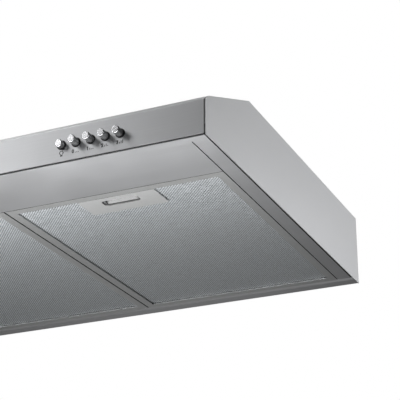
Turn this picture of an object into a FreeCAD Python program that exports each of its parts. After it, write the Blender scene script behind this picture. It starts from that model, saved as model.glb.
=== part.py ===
"""Under-cabinet range hood, 600 mm wide, as an assembly of separate pieces, one STEP file per piece.

Frame: origin at the centre of the flat top that screws to the cabinet, +X to the right of someone facing
the hood, +Y towards the wall, +Z up. The pieces are drawn from the front bottom edge of the case, where
y is 0 at the front face and z is 0 at the lowest edge, and move to the frame when they are written.
"""

import FreeCAD
import Part
import math
import os

V = FreeCAD.Vector

# ---- driving dimensions, millimetres ----
WIDTH = 600.0
DEPTH = 495.0
HEIGHT = 93.0
SHEET = 1.0             # stainless case sheet
FACE_LOW = 1.4          # lower edge of the front panel
FACE_HEIGHT = 40.0      # upper end of the upright front face
NOSE = (8.0, 47.0)      # y, z where the bevel above the face meets the slope
TOP_EDGE_Y = 118.0      # y where the slope meets the flat top

HALF = WIDTH / 2
INNER_HALF = HALF - SHEET
MOUNT_Y = (TOP_EDGE_Y + DEPTH) / 2
PANEL_HALF = INNER_HALF - 1.2

# underside, all from the front face
LIP_START = 4.4         # front edge of the skin, behind a dark gap under the front panel
SLIT_START = 14.0       # the slits beside the lamp plate begin here
STRIP_IN = 278.9        # inner edge of each side strip
LAMP_PLATE_END = 94.4
FILTER_START = 95.2
FILTER_END = 472.8
RAIL_Y = 473.8          # upright of the rear rail that the filter tabs hook into
SKIN_GAP = 2.4          # from the skin to each cheek
BASE_Z = 1.0            # underside skin stands this far above the case's lowest edge

# filters
FILTER_IN = 1.0
FILTER_OUT = 277.6
FILTER_TOP = 10.0
FILTER_BAND = 10.4
FILTER_HEM = 1.8
FILTER_WALL = 1.0
LATCH_HALF = 48.5
LATCH_START = 107.0
LATCH_END = 147.0
SLOT_HALF = 23.25
SLOT_START = 115.0
SLOT_END = 129.0
LATCH_TRAVEL = 5.0
SWING_Z = 2.5
SWING_Y = RAIL_Y + 0.5
TAB_OFFSET = 85.0

# push keys
KEY_X = 130.7           # first key, the lamp key
KEY_PITCH = 17.7
KEY_Z = 20.0
KEY_R = 4.2
KEY_OUT = 12.0          # how far a released key stands out
KEY_LATCHED = 4.5       # how far a latched key is held in
STEM_R = 3.0
GUIDE_R = 4.9
SWITCH_FRONT = 8.0
SWITCH_REAR = 34.0

# blower
FAN_C = (-86.0, 250.0)
FAN_R = 78.0
SCROLL_Z = (18.0, 76.0)
SCROLL_WALL = 2.0
SCROLL_MIN = 88.0
SCROLL_MAX = 128.0
TONGUE_DEG = 60.0
SCROLL_OUT_Y = 345.0
INLET_R = 62.0

# duct
DUCT_Y = 405.0
DUCT_R = 59.5           # outside of the 120 mm spigot
DUCT_WALL = 2.0
DUCT_TALL = 40.0
FLAP_Z = HEIGHT + 8.0
FLAP_R = 56.6
FLAP_PIN_OFFSET = 3.2
PIN_R = 1.2

# cabinet screw holes in the top
BOLT_X = 260.0
BOLT_Y = 140.0
BOLT_R = 2.75

# wall side: cheek screws, and the blanking plate over the rear outlet's opening
CHEEK_SCREWS = [(x, z) for x in (-293.0, 293.0) for z in (16.0, 76.0)]
BLANK_HALF_X = 82.0
BLANK_LOW = 18.0
BLANK_HIGH = 76.0

# lamp, junction box, capacitor and cable entry
LAMP_X = (-190.0, -90.0)
LAMP_Y = (33.0, 77.0)
BOX_X = (120.0, 215.0)
BOX_Y = (380.0, 470.0)
BOX_Z = (52.0, 90.8)
CAPACITOR = (215.0, 74.0, 14.0)     # x, z, radius
CABLE_X = 170.0
CABLE_Y = 452.0


# ---- helpers ----
def box(x0, x1, y0, y1, z0, z1):
    return Part.makeBox(x1 - x0, y1 - y0, z1 - z0, V(x0, y0, z0))


def rod(r, start, end):
    start, end = V(*start), V(*end)
    return Part.makeCylinder(r, (end - start).Length, start, end - start)


def tube(r_out, r_in, start, end):
    return rod(r_out, start, end).cut(rod(r_in, start, end))


def prism_x(points, x0, x1):
    """A profile of (y, z) points, extruded along X."""
    wire = Part.makePolygon([V(x0, y, z) for y, z in points + points[:1]])
    return Part.Face(wire).extrude(V(x1 - x0, 0, 0))


def prism_z(points, z0, z1):
    """An outline of (x, y) points, extruded along Z."""
    wire = Part.makePolygon([V(x, y, z0) for x, y in points + points[:1]])
    return Part.Face(wire).extrude(V(0, 0, z1 - z0))


def offset_line(points, t):
    """The open line of (y, z) points moved t to its right, with mitred corners."""
    moved = []
    for i, (y, z) in enumerate(points):
        normals = []
        for a, b in ((i - 1, i), (i, i + 1)):
            if a >= 0 and b < len(points):
                dy, dz = points[b][0] - points[a][0], points[b][1] - points[a][1]
                length = math.hypot(dy, dz)
                normals.append((dz / length, -dy / length))
        ny = sum(n[0] for n in normals) / len(normals)
        nz = sum(n[1] for n in normals) / len(normals)
        square = ny * ny + nz * nz
        moved.append((y + t * ny / square, z + t * nz / square))
    return moved


def folded(points, x0, x1, t=SHEET, radius=0.8):
    """Folded sheet: (y, z) points along its outer face, thickened to the right, with bends rounded."""
    inner = offset_line(points, t)
    solid = prism_x(points + inner[::-1], x0, x1)
    for line, r in ((points, radius + t), (inner, radius)):
        for i in range(1, len(line) - 1):
            solid = round_edge(solid, line[i], bend_radius(points, inner, i, line is points, r, t))
    return solid


def bend_radius(points, inner, i, is_outer, r, t):
    """The outer face of a bend takes the larger radius, whichever side the line bends to."""
    (ay, az), (by, bz), (cy, cz) = points[i - 1], points[i], points[i + 1]
    if (by - ay) * (cz - bz) - (bz - az) * (cy - by) < 0:
        return r
    return r - t if is_outer else r + t


def round_edge(solid, yz, r):
    edges = []
    for e in solid.Edges:
        if len(e.Vertexes) == 2 and all(math.hypot(v.Y - yz[0], v.Z - yz[1]) < 1e-4 for v in e.Vertexes):
            edges.append(e)
    return solid.makeFillet(r, edges) if edges else solid


def helix_spring(r, wire_r, length, turns, start, axis):
    """A compression spring from start along axis."""
    spine = Part.makeHelix(length / turns, length - 2 * wire_r, r)
    ring = Part.Wire(Part.makeCircle(wire_r, V(r, 0, 0), V(0, 1, 0)))
    spring = Part.Wire(spine).makePipeShell([ring], True, True)
    spring.translate(V(0, 0, wire_r))
    spring.Placement = FreeCAD.Placement(V(*start), FreeCAD.Rotation(V(0, 0, 1), V(*axis))).multiply(
        spring.Placement)
    return spring


def screw(start, axis, shank, length, head=2.2, cap=1.8):
    """A pan-head screw: start is under the head, axis points along the shank."""
    start, axis = V(*start), V(*axis)
    body = Part.makeCylinder(shank, length, start, axis)
    dome = Part.makeCylinder(head * shank, cap, start, axis * -1)
    rim = [e for e in dome.Edges if e.Length > 1 and (e.CenterOfMass - (start - axis * cap)).Length < 0.01]
    dome = dome.makeFillet(cap * 0.45, rim)
    side = V(1, 0, 0) if abs(axis.x) < 0.5 else V(0, 1, 0)
    for direction in (side, axis.cross(side)):
        arm = direction * (head * shank * 0.62)
        wide = axis.cross(direction) * (shank * 0.22)
        top = start - axis * (cap + 0.1)
        corners = [top + arm + wide, top - arm + wide, top - arm - wide, top + arm - wide]
        cut = Part.Face(Part.makePolygon(corners + corners[:1])).extrude(axis * (cap * 0.6))
        dome = dome.cut(cut)
    return body.fuse(dome).removeSplitter()


def cable(points, diameter):
    """A lead: straight runs joined by tangent arcs, each as large as its two runs allow."""
    points = [V(*p) for p in points]
    edges, last = [], points[0]
    for a, b, c in zip(points, points[1:], points[2:]):
        into, out = (b - a).normalize(), (c - b).normalize()
        half = into.getAngle(out) / 2
        cut = 0.45 * min((b - a).Length, (c - b).Length)
        radius = cut / math.tan(half)
        start, end = b - into * cut, b + out * cut
        middle = b + (out - into).normalize() * (radius / math.cos(half) - radius)
        edges += [Part.LineSegment(last, start).toShape(), Part.Arc(start, middle, end).toShape()]
        last = end
    edges.append(Part.LineSegment(last, points[-1]).toShape())
    ring = Part.Wire(Part.makeCircle(diameter / 2, points[0], points[1] - points[0]))
    return Part.Wire(edges).makePipeShell([ring], True, True)


def rounded_plate(cx, cy, half_x, half_y, z0, z1, r):
    plate = box(cx - half_x, cx + half_x, cy - half_y, cy + half_y, z0, z1)
    return plate.makeFillet(r, [e for e in plate.Edges if abs(e.Vertexes[0].Z - e.Vertexes[1].Z) > 0.1])


PARTS = {}


def keep(name, *solids):
    """Holds a node's solids; several separate solids stay separate."""
    PARTS[name] = Part.makeCompound(list(solids)) if len(solids) > 1 else solids[0]


# ---- case ----
def key_x(i):
    return KEY_X + i * KEY_PITCH


def slope_y(z):
    """The y at which the slope's outer face reaches a height."""
    (ny, nz) = NOSE
    return ny + (z - nz) * (TOP_EDGE_Y - ny) / (HEIGHT - nz)


def front_panel():
    """Upright face, bevel and slope in one sheet, flanged under the flat top; pierced for the guides."""
    under = HEIGHT - SHEET - 0.1
    line = [(0.0, FACE_LOW), (0.0, FACE_HEIGHT), NOSE, (slope_y(under), under), (TOP_EDGE_Y + 5, under)]
    panel = folded(line, -PANEL_HALF, PANEL_HALF, radius=1.2)
    for i in range(5):
        panel = panel.cut(rod(GUIDE_R + 0.05, (key_x(i), -1, KEY_Z), (key_x(i), 3, KEY_Z)))
    return panel


def canopy_top():
    """Flat top, laid on the front panel's flange and run to the wall side."""
    edge = INNER_HALF - 0.1
    top = box(-edge, edge, TOP_EDGE_Y, DEPTH - SHEET - 0.1, HEIGHT - SHEET, HEIGHT)
    holes = [(0, DUCT_Y, DUCT_R + 1.0), (CABLE_X, CABLE_Y, 8.0)]
    holes += [(sx * BOLT_X, MOUNT_Y + sy * BOLT_Y, BOLT_R) for sx in (-1, 1) for sy in (-1, 1)]
    holes += [(x, y, 1.7) for x, y in collar_screw_places()]
    holes += [(x, y, 2.2) for x, y in post_places()]
    for x, y, r in holes:
        top = top.cut(rod(r, (x, y, HEIGHT - 3), (x, y, HEIGHT + 1)))
    return top


def blank_screw_places():
    return [(sx * (BLANK_HALF_X - 6), z) for sx in (-1, 1) for z in (BLANK_LOW + 6, BLANK_HIGH - 6)]


def back_panel():
    """Wall side, with a flange under the top, a bottom flange and the slotted rail for the filters' tabs."""
    line = [(DEPTH - 14, HEIGHT - 1.1), (DEPTH, HEIGHT - 1.1), (DEPTH, 0), (477.2, 0), (RAIL_Y, 2.2),
            (RAIL_Y, 13.0)]
    panel = folded(line, -INNER_HALF + 0.1, INNER_HALF - 0.1, radius=0.5)
    for side in (-1, 1):
        for tab in (-TAB_OFFSET, TAB_OFFSET):
            x = side * filter_centre() + tab
            panel = panel.cut(box(x - 10, x + 10, RAIL_Y - 1, RAIL_Y + 2, 3.2, 10.0))
    panel = panel.cut(box(-BLANK_HALF_X + 12, BLANK_HALF_X - 12, DEPTH - 2, DEPTH + 1, BLANK_LOW + 8,
                          BLANK_HIGH - 8))
    for x, z in blank_screw_places():
        panel = panel.cut(rod(1.3, (x, DEPTH - 3, z), (x, DEPTH + 1, z)))
    for x, z in CHEEK_SCREWS:
        panel = panel.cut(rod(1.6, (x, DEPTH - 3, z), (x, DEPTH + 1, z)))
    return panel


def side_panel(side):
    """Cheek with a flange under the canopy sheet and another in front of the back panel."""
    outline = [(1.0, 0), (0, 2.0), (0, FACE_HEIGHT), NOSE, (TOP_EDGE_Y, HEIGHT), (DEPTH, HEIGHT), (DEPTH, 0)]
    cheek = prism_x(outline, INNER_HALF, HALF)
    inner = INNER_HALF - 11
    top_flange = box(inner, INNER_HALF + 0.2, TOP_EDGE_Y + 8, DEPTH - 18, HEIGHT - 2.1, HEIGHT - 1.1)
    rear_flange = box(inner, INNER_HALF + 0.2, DEPTH - 2.1, DEPTH - 1.1, 6, HEIGHT - 6)
    cheek = cheek.fuse(top_flange).fuse(rear_flange).removeSplitter()
    for z in (16.0, 76.0):
        cheek = cheek.cut(rod(1.3, (293.0, DEPTH - 4, z), (293.0, DEPTH - 0.5, z)))
    return cheek if side > 0 else cheek.mirror(V(0, 0, 0), V(1, 0, 0))


def base_frame():
    """Underside skin: front lip, lamp plate and two side strips in one sheet, slit beside the plate."""
    edge, top = INNER_HALF - SKIN_GAP, BASE_Z + SHEET
    strip_end = FILTER_END - 0.6
    skin = box(-edge, edge, LIP_START, strip_end, BASE_Z, top)
    skin = skin.cut(box(-STRIP_IN, STRIP_IN, LAMP_PLATE_END, DEPTH, 0, 5))
    parts = [box(-edge, edge, LIP_START, LIP_START + SHEET, BASE_Z, 13.5)]
    parts.append(box(-FILTER_OUT, FILTER_OUT, LAMP_PLATE_END - SHEET, LAMP_PLATE_END, BASE_Z, 11))
    for s in (-1, 1):
        near = sorted((s * FILTER_OUT, s * STRIP_IN))
        skin = skin.cut(box(near[0], near[1], SLIT_START, DEPTH, 0, 5))
        for x, tall in ((STRIP_IN + SHEET / 2, 12.0), (edge - SHEET / 2, 14.0)):
            y0 = SLIT_START if tall == 12.0 else LIP_START
            parts.append(box(s * x - SHEET / 2, s * x + SHEET / 2, y0, strip_end, BASE_Z, tall))
    for p in parts:
        skin = skin.fuse(p)
    skin = skin.cut(box(LAMP_X[0], LAMP_X[1], LAMP_Y[0], LAMP_Y[1], 0, 5))
    for side in (-1, 1):
        x = side * filter_centre()
        skin = skin.cut(box(x - 20, x + 20, LAMP_PLATE_END - 3, LAMP_PLATE_END + 2, 2.4, 5.0))
    return skin.removeSplitter()


def cabinet_stiffeners():
    """Two channels under the flat top that spread the load of the cabinet screws."""
    bars = []
    for x in (-BOLT_X, BOLT_X):
        bar = box(x - 14, x + 14, TOP_EDGE_Y + 12, DEPTH - 20, HEIGHT - 3.1, HEIGHT - 1.1)
        for edge in (x - 14, x + 12.5):
            bar = bar.fuse(box(edge, edge + 1.5, TOP_EDGE_Y + 12, DEPTH - 20, HEIGHT - 9, HEIGHT - 1.1))
        for y in (MOUNT_Y - BOLT_Y, MOUNT_Y + BOLT_Y):
            bar = bar.cut(rod(BOLT_R + 0.5, (x, y, HEIGHT - 10), (x, y, HEIGHT)))
        bars.append(bar.removeSplitter())
    return bars


def case():
    keep("front_panel", front_panel())
    keep("canopy_top", canopy_top())
    keep("back_panel", back_panel())
    keep("side_panel_right", side_panel(1))
    keep("side_panel_left", side_panel(-1))
    keep("base_frame", base_frame())
    keep("cabinet_stiffeners", *cabinet_stiffeners())
    rear = [(x, DEPTH + 0.02, z) for x, z in CHEEK_SCREWS]
    rear += [(x, DEPTH + SHEET + 0.07, z) for x, z in blank_screw_places()]
    keep("rear_screws", *[screw(place, (0, -1, 0), 1.25, 8, cap=1.5) for place in rear])


# ---- grease filters ----
def filter_centre():
    return (FILTER_IN + FILTER_OUT) / 2


def filter_frame():
    """Channel-section frame with a hemmed lower flange, notched for the latch tongue, tabs at the rear."""
    z0, z1 = BASE_Z, FILTER_TOP
    frame = box(FILTER_IN, FILTER_OUT, FILTER_START, FILTER_END, z0, z1)
    wall, band, cx = FILTER_WALL, FILTER_BAND, filter_centre()
    frame = frame.cut(inset(wall, z0 + FILTER_HEM, z1 - wall))
    frame = frame.cut(inset(band, z0 - 1, z0 + FILTER_HEM + 0.1))
    frame = frame.cut(inset(8.0, z1 - wall - 0.1, z1 + 1))
    frame = frame.cut(box(cx - 19, cx + 19, FILTER_START - 1, FILTER_START + 2, 2.8, 4.3))
    for tab in (-TAB_OFFSET, TAB_OFFSET):
        x = cx + tab
        frame = frame.fuse(box(x - 8, x + 8, FILTER_END - 0.5, FILTER_END + 6.2, 4.0, 5.0))
    return frame.removeSplitter()


def inset(by, z0, z1):
    return box(FILTER_IN + by, FILTER_OUT - by, FILTER_START + by, FILTER_END - by, z0, z1)


def latch_bay(grow, z0, z1):
    cx = filter_centre()
    return box(cx - LATCH_HALF - grow, cx + LATCH_HALF + grow, FILTER_START, LATCH_END + grow, z0, z1)


def filter_face():
    """Lower mesh sheet, drawn as a plain sheet."""
    return inset(FILTER_WALL + 0.2, 2.9, 3.3).cut(latch_bay(0.3, 2, 5))


def filter_core():
    """Three mesh layers above the face, drawn as plain sheets."""
    return [inset(FILTER_WALL + 0.2, z, z + 0.4).cut(latch_bay(1.0, 2, 10)) for z in (4.2, 6.3, 8.4)]


def latch_plate():
    """Smooth cover plate with the finger slot and two spring stops."""
    cx, cy = filter_centre(), (LATCH_START + LATCH_END) / 2
    plate = rounded_plate(cx, cy, LATCH_HALF, (LATCH_END - LATCH_START) / 2, 1.5, 2.8, 3.0)
    slot_half_y = (SLOT_END - SLOT_START) / 2
    plate = plate.cut(rounded_plate(cx, SLOT_START + slot_half_y, SLOT_HALF, slot_half_y, 0, 5, 5.0))
    for s in (-1, 1):
        x = cx + s * 26
        plate = plate.fuse(box(x - 3.5, x + 3.5, 140.0, 141.2, 2.7, 8.2))
    return plate.removeSplitter()


def latch_slide():
    """Spring bolt with a finger scoop: it slides back to free the front of the filter."""
    cx, z0, z1 = filter_centre(), 2.9, 3.9
    slide = box(cx - 18, cx + 18, 90.6, 99.5, z0, z1)
    slide = slide.fuse(box(cx - 21.8, cx + 21.8, 99.0, 131.5, z0, z1))
    slide = slide.fuse(box(cx - 30, cx + 30, 104.0, 121.0, z0, z1))
    for s in (-1, 1):
        x = cx + s * 26
        slide = slide.fuse(box(x - 3.5, x + 3.5, 119.8, 121.0, z0, 8.2))
    scoop = box(cx - 21.2, cx + 21.2, 114.4, 129.4, z1 - 0.5, 8.4)
    hollow = prism_x([(115.4, 2.0), (115.4, 7.4), (120.5, 7.4), (128.4, 3.4), (128.4, 2.0)],
                     cx - 20.2, cx + 20.2)
    return slide.fuse(scoop).cut(hollow).removeSplitter()


def latch_springs():
    cx = filter_centre()
    return [helix_spring(1.9, 0.3, 18.9, 9, (cx + s * 26, 121.05, 6.0), (0, 1, 0)) for s in (-1, 1)]


def filters():
    for side, word in ((1, "right"), (-1, "left")):
        made = {
            "filter_frame": [filter_frame()],
            "filter_face": [filter_face()],
            "filter_core": filter_core(),
            "latch_plate": [latch_plate()],
            "latch_slide": [latch_slide()],
            "latch_springs": latch_springs(),
        }
        for name, solids in made.items():
            if side < 0:
                shift = V(-2 * filter_centre(), 0, 0)
                solids = [s.translated(shift) for s in solids]
            keep(f"{name}_{word}", *solids)


# ---- push keys ----
KEY_NAMES = ("key_lamp", "key_off", "key_speed_1", "key_speed_2", "key_speed_3")


def key(i):
    """A domed cylindrical key on a thinner stem. The lamp key is drawn latched in."""
    pushed = KEY_LATCHED if i == 0 else 0.0
    x = key_x(i)
    cap = rod(KEY_R, (x, -KEY_OUT, KEY_Z), (x, 1.2, KEY_Z))
    rim = [e for e in cap.Edges if abs(e.CenterOfMass.y + KEY_OUT) < 0.01]
    cap = cap.makeFillet(0.7, rim)
    stem = rod(STEM_R, (x, 1.0, KEY_Z), (x, 20.0, KEY_Z))
    return cap.fuse(stem).removeSplitter().translated(V(0, pushed, 0))


def key_guides():
    guides = []
    for i in range(5):
        x = key_x(i)
        guide = rod(GUIDE_R, (x, -0.5, KEY_Z), (x, 4.2, KEY_Z))
        guide = guide.fuse(rod(5.4, (x, -0.5, KEY_Z), (x, -0.05, KEY_Z)))
        guides.append(guide.cut(rod(KEY_R + 0.15, (x, -3, KEY_Z), (x, 6, KEY_Z))).removeSplitter())
    return guides


def switch_housing():
    """Five-way interlocked switch: one block with a bore and a pair of tab terminals for each key."""
    x0, x1 = key_x(0) - 9, key_x(4) + 9
    block = box(x0, x1, SWITCH_FRONT, SWITCH_REAR, 11.5, 28.5)
    for i in range(5):
        x = key_x(i)
        block = block.cut(rod(STEM_R + 0.2, (x, SWITCH_FRONT - 1, KEY_Z), (x, SWITCH_REAR - 2, KEY_Z)))
        for dz in (-4.5, 4.5):
            block = block.fuse(box(x - 2.4, x + 2.4, SWITCH_REAR - 1, SWITCH_REAR + 7, KEY_Z + dz - 0.4,
                                   KEY_Z + dz + 0.4))
    return block.removeSplitter()


def switch_bracket():
    """Steel plate in front of the switch, on two feet behind the front panel."""
    x0, x1 = key_x(0) - 14, key_x(4) + 14
    plate = box(x0, x1, 6.9, 7.9, 14.5, 30.0)
    for i in range(5):
        plate = plate.cut(rod(STEM_R + 0.6, (key_x(i), 5, KEY_Z), (key_x(i), 9, KEY_Z)))
    for x, out in ((x0, -7.0), (x1, 7.0)):
        leg = min(x, x + (1.0 if out < 0 else -1.0))
        plate = plate.fuse(box(leg, leg + 1.0, 1.15, 7.9, 14.5, 30.0))
        foot = sorted((x, x + out))
        plate = plate.fuse(box(foot[0], foot[1], 1.15, 2.15, 14.5, 30.0))
    return plate.removeSplitter()


def key_springs():
    springs = []
    for i in range(5):
        start = 20.05 + (KEY_LATCHED if i == 0 else 0.0)
        springs.append(helix_spring(2.2, 0.25, SWITCH_REAR - 2.05 - start, 6, (key_x(i), start, KEY_Z),
                                    (0, 1, 0)))
    return springs


def keys():
    for i, name in enumerate(KEY_NAMES):
        keep(name, key(i))
    keep("key_guides", *key_guides())
    keep("switch_housing", switch_housing())
    keep("switch_bracket", switch_bracket())
    keep("key_springs", *key_springs())


# ---- lamp ----
def lamp():
    x0, x1, y0, y1 = LAMP_X[0], LAMP_X[1], LAMP_Y[0], LAMP_Y[1]
    lens = box(x0 + 0.4, x1 - 0.4, y0 + 0.4, y1 - 0.4, 0.4, 2.6)
    lens = lens.makeFillet(0.5, [e for e in lens.Edges if abs(e.CenterOfMass.z - 0.4) < 0.01])
    lens = lens.fuse(box(x0 - 4, x1 + 4, y0 - 4, y1 + 4, 2.1, 3.4))
    keep("lamp_lens", lens.removeSplitter())
    tray = box(x0 - 4, x1 + 4, y0 - 4, y1 + 4, 3.5, 22.0)
    tray = tray.cut(box(x0 - 2.8, x1 + 2.8, y0 - 2.8, y1 + 2.8, 3.0, 20.8))
    tray = tray.cut(rod(3.2, ((x0 + x1) / 2, y1 - 8, 18), ((x0 + x1) / 2, y1 - 8, 25)))
    keep("lamp_housing", tray)
    board = box(x0 + 4, x1 - 4, y0 + 10, y1 - 10, 19.1, 20.7)
    for i in range(6):
        x = x0 + 4 + (i + 0.5) * (x1 - x0 - 8) / 6
        board = board.fuse(box(x - 1.75, x + 1.75, 53.25, 56.75, 18.3, 19.2))
    keep("led_board", board.removeSplitter())


# ---- blower ----
def volute(grow):
    """Plan of the scroll: a spiral from the tongue round to the outlet side, then straight to the outlet."""
    first, wall_x = TONGUE_DEG, scroll_point(TONGUE_DEG, 0)[0] - grow
    for _ in range(8):
        x, y = scroll_point(first, grow)
        r = math.hypot(x - FAN_C[0], y - FAN_C[1])
        first = math.degrees(math.acos((wall_x - FAN_C[0]) / r))
    spiral = [V(*scroll_point(first + (360 - first) * k / 12, grow), 0) for k in range(13)]
    curve = Part.BSplineCurve()
    curve.interpolate(spiral)
    tongue, end = spiral[0], spiral[-1]
    corners = [end, V(end.x, SCROLL_OUT_Y, 0), V(tongue.x, SCROLL_OUT_Y, 0), tongue]
    lines = [Part.LineSegment(a, b).toShape() for a, b in zip(corners, corners[1:])]
    return Part.Face(Part.Wire([curve.toShape()] + lines))


def raised(face, z0, z1):
    return face.translated(V(0, 0, z0)).extrude(V(0, 0, z1 - z0))


def scroll_point(degrees, out):
    """A point this far outside the scroll's inner wall, at this angle round the fan."""
    cx, cy = FAN_C
    a = math.radians(degrees)
    r = SCROLL_MIN + (SCROLL_MAX - SCROLL_MIN) * (degrees - TONGUE_DEG) / (360 - TONGUE_DEG) + out
    return cx + r * math.cos(a), cy + r * math.sin(a)


def lid_screw_places():
    return [scroll_point(a, SCROLL_WALL + 3.0) for a in (130, 180, 240, 310)]


def post_places():
    return [scroll_point(110, 9.0), scroll_point(200, 9.0), scroll_point(290, 9.0), (53.0, 300.0)]


def blower():
    cx, cy = FAN_C
    z0, z1 = SCROLL_Z
    floor = raised(volute(SCROLL_WALL), z0, z0 + SCROLL_WALL)
    floor = floor.cut(rod(INLET_R, (cx, cy, z0 - 5), (cx, cy, z0 + 5)))
    keep("scroll_floor", floor)
    wall = raised(volute(SCROLL_WALL), z0 + SCROLL_WALL, z1).cut(raised(volute(0), z0 - 1, z1 + 1))
    outlet = box(cx + 44, cx + SCROLL_MAX, SCROLL_OUT_Y - 3, SCROLL_OUT_Y + 3, z0 - 1, z1 + 1)
    wall = wall.cut(outlet)
    for x, y in lid_screw_places():
        boss = rod(4.0, (x, y, z0 + 6), (x, y, z1)).cut(rod(1.2, (x, y, z1 - 14), (x, y, z1 + 1)))
        wall = wall.fuse(boss.cut(raised(volute(SCROLL_WALL / 2), z0, z1 + 1)))
        wall = wall.cut(rod(1.2, (x, y, z1 - 14), (x, y, z1 + 1)))
    keep("scroll_wall", wall.removeSplitter())

    upper = raised(volute(SCROLL_WALL), z1 + 0.05, z1 + 2.5)
    for x, y in lid_screw_places():
        upper = upper.fuse(rod(4.0, (x, y, z1 + 0.05), (x, y, z1 + 2.5)))
    for x, y in post_places():
        upper = upper.fuse(rod(9.0, (x, y, z1 + 0.05), (x, y, z1 + 2.5)))
        upper = upper.cut(rod(2.2, (x, y, z1 - 1), (x, y, z1 + 3)))
    for x, y in lid_screw_places():
        upper = upper.cut(rod(1.7, (x, y, z1 - 1), (x, y, z1 + 3)))
    upper = upper.cut(rod(44.0, (cx, cy, z1 - 1), (cx, cy, z1 + 4)))
    for x, y in motor_screw_places():
        upper = upper.cut(rod(1.3, (x, y, z1 - 1), (x, y, z1 + 3)))
    keep("scroll_upper", upper.removeSplitter())
    keep("scroll_screws", *[screw((x, y, z1 + 2.52), (0, 0, -1), 1.15, 9) for x, y in lid_screw_places()])

    posts = []
    for x, y in post_places():
        posts.append(tube(6.5, 2.2, (x, y, z1 + 2.55), (x, y, HEIGHT - SHEET - 0.05)))
    keep("blower_posts", *posts)
    keep("post_screws", *[screw((x, y, z1 - 0.02), (0, 0, 1), 2.0, 16.8) for x, y in post_places()])

    guard = tube(INLET_R + 6, INLET_R + 1, (cx, cy, z0 - 2.6), (cx, cy, z0 - 0.1))
    guard = guard.fuse(rod(12.0, (cx, cy, z0 - 2.6), (cx, cy, z0 - 0.8)))
    for degrees in (90, 210, 330):
        spoke = box(10, INLET_R + 3, -2.0, 2.0, z0 - 2.6, z0 - 0.8)
        spoke.rotate(V(0, 0, 0), V(0, 0, 1), degrees)
        guard = guard.fuse(spoke.translated(V(cx, cy, 0)))
    keep("inlet_guard", guard.removeSplitter())


def motor_screw_places():
    cx, cy = FAN_C
    return [(cx + 48.5 * math.cos(math.radians(a)), cy + 48.5 * math.sin(math.radians(a)))
            for a in (90, 210, 330)]


def motor():
    cx, cy = FAN_C
    z1 = SCROLL_Z[1]
    body = rod(40.0, (cx, cy, 38), (cx, cy, z1 + 2.55))
    body = body.makeFillet(5.0, [e for e in body.Edges if abs(e.CenterOfMass.z - 38) < 0.01])
    body = body.fuse(rod(53.0, (cx, cy, z1 + 2.55), (cx, cy, z1 + 4.5)))
    cap = rod(30.0, (cx, cy, z1 + 4), (cx, cy, z1 + 12.5))
    cap = cap.makeFillet(3.0, [e for e in cap.Edges if abs(e.CenterOfMass.z - z1 - 12.5) < 0.01])
    body = body.fuse(cap)
    body = body.cut(rod(9.05, (cx, cy, 30), (cx, cy, 46)))
    body = body.cut(rod(9.05, (cx, cy, 74), (cx, cy, 82)))
    body = body.cut(rod(6.0, (cx, cy, 40), (cx, cy, 84.5)))
    for x, y in motor_screw_places():
        body = body.cut(rod(1.5, (x, y, z1), (x, y, z1 + 6)))
    keep("motor_housing", body.removeSplitter())
    keep("motor_screws", *[screw((x, y, z1 + 4.52), (0, 0, -1), 1.25, 6) for x, y in motor_screw_places()])
    bearings = [tube(9.0, 4.05, (cx, cy, z), (cx, cy, z + 7)) for z in (38.8, 74.5)]
    keep("motor_bearings", *bearings)
    keep("motor_shaft", rod(4.0, (cx, cy, 25.5), (cx, cy, 83.5)))


def impeller():
    """Forward-curved wheel: cup-shaped hub round the motor, blades, and a shroud ring at the inlet."""
    cx, cy = FAN_C
    hub_points = [(4.02, 28), (9, 28), (44.5, 31), (44.5, 66), (FAN_R, 66), (FAN_R, 68), (42.5, 68),
                  (42.5, 33), (9, 36), (4.02, 36)]
    wire = Part.makePolygon([V(r, 0, z) for r, z in hub_points + hub_points[:1]])
    wheel = Part.Face(wire).revolve(V(0, 0, 0), V(0, 0, 1), 360)
    inner, outer, thick = 65.0, FAN_R - 0.6, 1.4
    blades = 30
    for k in range(blades):
        a = Part.Arc(V(inner, 0, 0), V((inner + outer) / 2, 3.0, 0), V(outer, 9.0, 0))
        b = Part.Arc(V(outer, 9.0 + thick, 0), V((inner + outer) / 2, 3.0 + thick, 0), V(inner, thick, 0))
        joins = [Part.LineSegment(a.EndPoint, b.StartPoint), Part.LineSegment(b.EndPoint, a.StartPoint)]
        outline = Part.Wire([a.toShape(), joins[0].toShape(), b.toShape(), joins[1].toShape()])
        blade = Part.Face(outline).extrude(V(0, 0, 66.5 - 27)).translated(V(0, 0, 27))
        blade.rotate(V(0, 0, 0), V(0, 0, 1), k * 360 / blades)
        wheel = wheel.fuse(blade)
    ring = tube(FAN_R, 70.0, (0, 0, 26), (0, 0, 28.5))
    return wheel.fuse(ring).removeSplitter().translated(V(cx, cy, 0))


# ---- duct ----
def collar_screw_places():
    return [(71 * math.cos(math.radians(a)), DUCT_Y + 71 * math.sin(math.radians(a)))
            for a in (45, 135, 225, 315)]


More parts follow.
